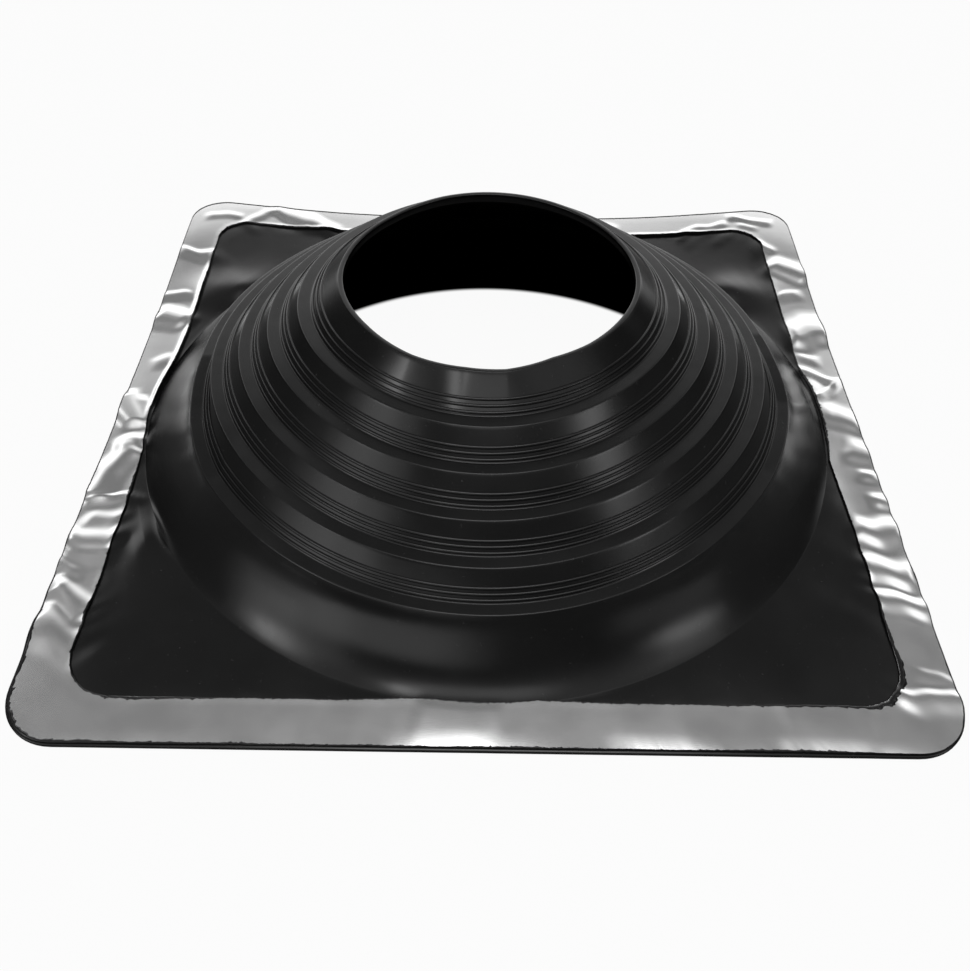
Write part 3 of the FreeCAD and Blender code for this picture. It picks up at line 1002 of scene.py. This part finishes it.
def add_world(stage):
    """White for the camera, even light for the boot, and a dim room with cards for gloss."""
    world = bpy.data.worlds.new("studio")
    bpy.context.scene.world = world
    world.use_nodes = True
    tree = world.node_tree
    tree.nodes.clear()
    output = tree.nodes.new("ShaderNodeOutputWorld")
    place = tree.nodes.new("ShaderNodeTexCoord").outputs["Generated"]
    east, north, up = (axis(tree, place, name) for name in "XYZ")
    wall = times(tree, spread(tree, up, *WALL_BAND, stage.horizon, 0.0),
                 band(tree, east, 0.0, WALL_HALF, WALL_EDGE, 1.0))
    room = spread(tree, up, *ROOM_BAND, stage.shine, stage.shine + stage.high_shine)
    back = plus(tree, times(tree, room, ROOM_BEHIND), wall)
    ceiling = spread(tree, up, *CEILING_BAND, 0.0, stage.ceiling)
    gloss = plus(tree, ceiling, mix_value(tree, spread(tree, north, *BEHIND_BAND), room, back))
    turn = calculate(tree, "DEGREES", calculate(tree, "ARCTAN2", east, times(tree, north, -1.0)))
    rise = calculate(tree, "DEGREES", calculate(tree, "ARCSINE", up))
    for turned, wide, soft, raised, high, soft_high, glow in CARDS:
        card = times(tree, band(tree, turn, turned, wide, soft, 1.0),
                     band(tree, rise, raised, high, soft_high, glow))
        gloss = plus(tree, gloss, card)
    glossy = tree.nodes.new("ShaderNodeLightPath").outputs["Is Glossy Ray"]
    gloss_or_sky = plus(tree, times(tree, calculate(tree, "SUBTRACT", gloss, stage.sky), glossy), stage.sky)
    studio = tree.nodes.new("ShaderNodeBackground")
    tree.links.new(gloss_or_sky, studio.inputs["Strength"])
    white = tree.nodes.new("ShaderNodeBackground")
    for background in (studio, white):
        background.inputs["Color"].default_value = (1, 1, 1, 1)
    mix_shaders(tree, background_share(tree),
                studio.outputs["Background"], white.outputs["Background"], output)


FLOOR_REACH = 4.0
FLOOR_GLOW = 0.95    # share of plain white in the floor that the camera sees
# Painted shadow: the floor under the boot is painted black with no glow, standing in for the boot's shade,
# but for a round pale patch left where light would fall through the mouth and show there. Listed are the
# radius where each ends, the width of its edge, and how far ahead of the axis the patch lies.
PAINTED_SHADOW_RADIUS, PAINTED_SHADOW_EDGE = 0.283, 0.004
PATCH_RADIUS, PATCH_EDGE, PATCH_AHEAD = 0.234, 0.006, 0.059


def floor_distance(tree, ahead):
    """Distance on the floor from a point ahead of the boot's axis."""
    place = tree.nodes.new("ShaderNodeTexCoord").outputs["Object"]
    east, north = axis(tree, place, "X"), plus(tree, axis(tree, place, "Y"), ahead)
    return calculate(tree, "SQRT", plus(tree, times(tree, east, east), times(tree, north, north)))


def add_floor(stage):
    """Pale floor, which gloss shows darker, with the boot's shade painted black on it under the boot."""
    mesh = bpy.data.meshes.new("floor")
    corners = ((-1, -1), (1, -1), (1, 1), (-1, 1))
    mesh.from_pydata([(FLOOR_REACH * x, FLOOR_REACH * y, 0) for x, y in corners], [], [(0, 1, 2, 3)])
    floor = link("floor", mesh)
    made = bpy.data.materials.new("floor_paper")
    made.use_nodes = True
    tree = made.node_tree
    tree.nodes.clear()
    output = tree.nodes.new("ShaderNodeOutputMaterial")
    paper = tree.nodes.new("ShaderNodeBsdfDiffuse")
    glow = tree.nodes.new("ShaderNodeEmission")
    glow.inputs["Strength"].default_value = 1.0
    # Painted shadow: black colour and no glow on the floor under the boot, except in the round patch under
    # the mouth.
    under_boot = spread(tree, floor_distance(tree, 0.0), PAINTED_SHADOW_RADIUS, PAINTED_SHADOW_RADIUS + PAINTED_SHADOW_EDGE, 1.0, 0.0)
    off_patch = spread(tree, floor_distance(tree, PATCH_AHEAD), PATCH_RADIUS, PATCH_RADIUS + PATCH_EDGE)
    painted_shadow = times(tree, under_boot, off_patch)
    glossy = tree.nodes.new("ShaderNodeLightPath").outputs["Is Glossy Ray"]
    pale = mix_colour(tree, glossy, stage.floor, stage.floor_shine)
    tree.links.new(mix_colour(tree, painted_shadow, pale, (0.0, 0.0, 0.0)), paper.inputs["Color"])
    glow_share = times(tree, calculate(tree, "SUBTRACT", 1.0, painted_shadow), FLOOR_GLOW)
    mix_shaders(tree, times(tree, background_share(tree), glow_share),
                paper.outputs["BSDF"], glow.outputs["Emission"], output)
    mesh.materials.append(made)


class OBJECT_OT_boot_stage(bpy.types.Operator):
    """Add the camera, the pale floor, the lamps and the world"""
    bl_idname = "object.boot_stage"
    bl_label = "Boot Stage"

    def execute(self, context):
        stage = context.scene.stage_settings
        add_camera(stage)
        add_world(stage)
        add_floor(stage)
        for name, turn, rise, far, size, power in LAMPS:
            add_lamp(name, turn, rise, far, size, power)
        context.scene.view_settings.view_transform = "Standard"
        return {"FINISHED"}


class VIEW3D_PT_flashing_boot(bpy.types.Panel):
    """Pieces of the flashing boot"""
    bl_label = "Flashing Boot"
    bl_space_type = "VIEW_3D"
    bl_region_type = "UI"
    bl_category = "Flashing Boot"

    def draw(self, context):
        for operator in OPERATORS:
            self.layout.operator(operator.bl_idname)


GROUPS = {
    "boot_sizes": BootSizes,
    "strip_sizes": StripSizes,
    "boot_finish": BootFinish,
    "stage_settings": StageSettings,
}
OPERATORS = (
    OBJECT_OT_boot_finishes,
    OBJECT_OT_boot_moulding,
    OBJECT_OT_trim_ribs,
    OBJECT_OT_metal_strip,
    OBJECT_OT_lapped_rubber,
    OBJECT_OT_boot_stage,
)


def register():
    """Adds the groups, the operators and the panel."""
    for made in (*GROUPS.values(), *OPERATORS, VIEW3D_PT_flashing_boot):
        bpy.utils.register_class(made)
    for name, group in GROUPS.items():
        setattr(bpy.types.Scene, name, bpy.props.PointerProperty(type=group))


def unregister():
    """Takes them away again."""
    for name in GROUPS:
        delattr(bpy.types.Scene, name)
    for made in (VIEW3D_PT_flashing_boot, *reversed(OPERATORS), *reversed(list(GROUPS.values()))):
        bpy.utils.unregister_class(made)


def main():
    """Builds the boot and its stage."""
    register()
    bpy.ops.object.boot_finishes()
    bpy.ops.object.boot_moulding()
    bpy.ops.object.trim_ribs()
    bpy.ops.object.metal_strip()
    bpy.ops.object.lapped_rubber()
    bpy.ops.object.boot_stage()


if __name__ == "__main__":
    main()
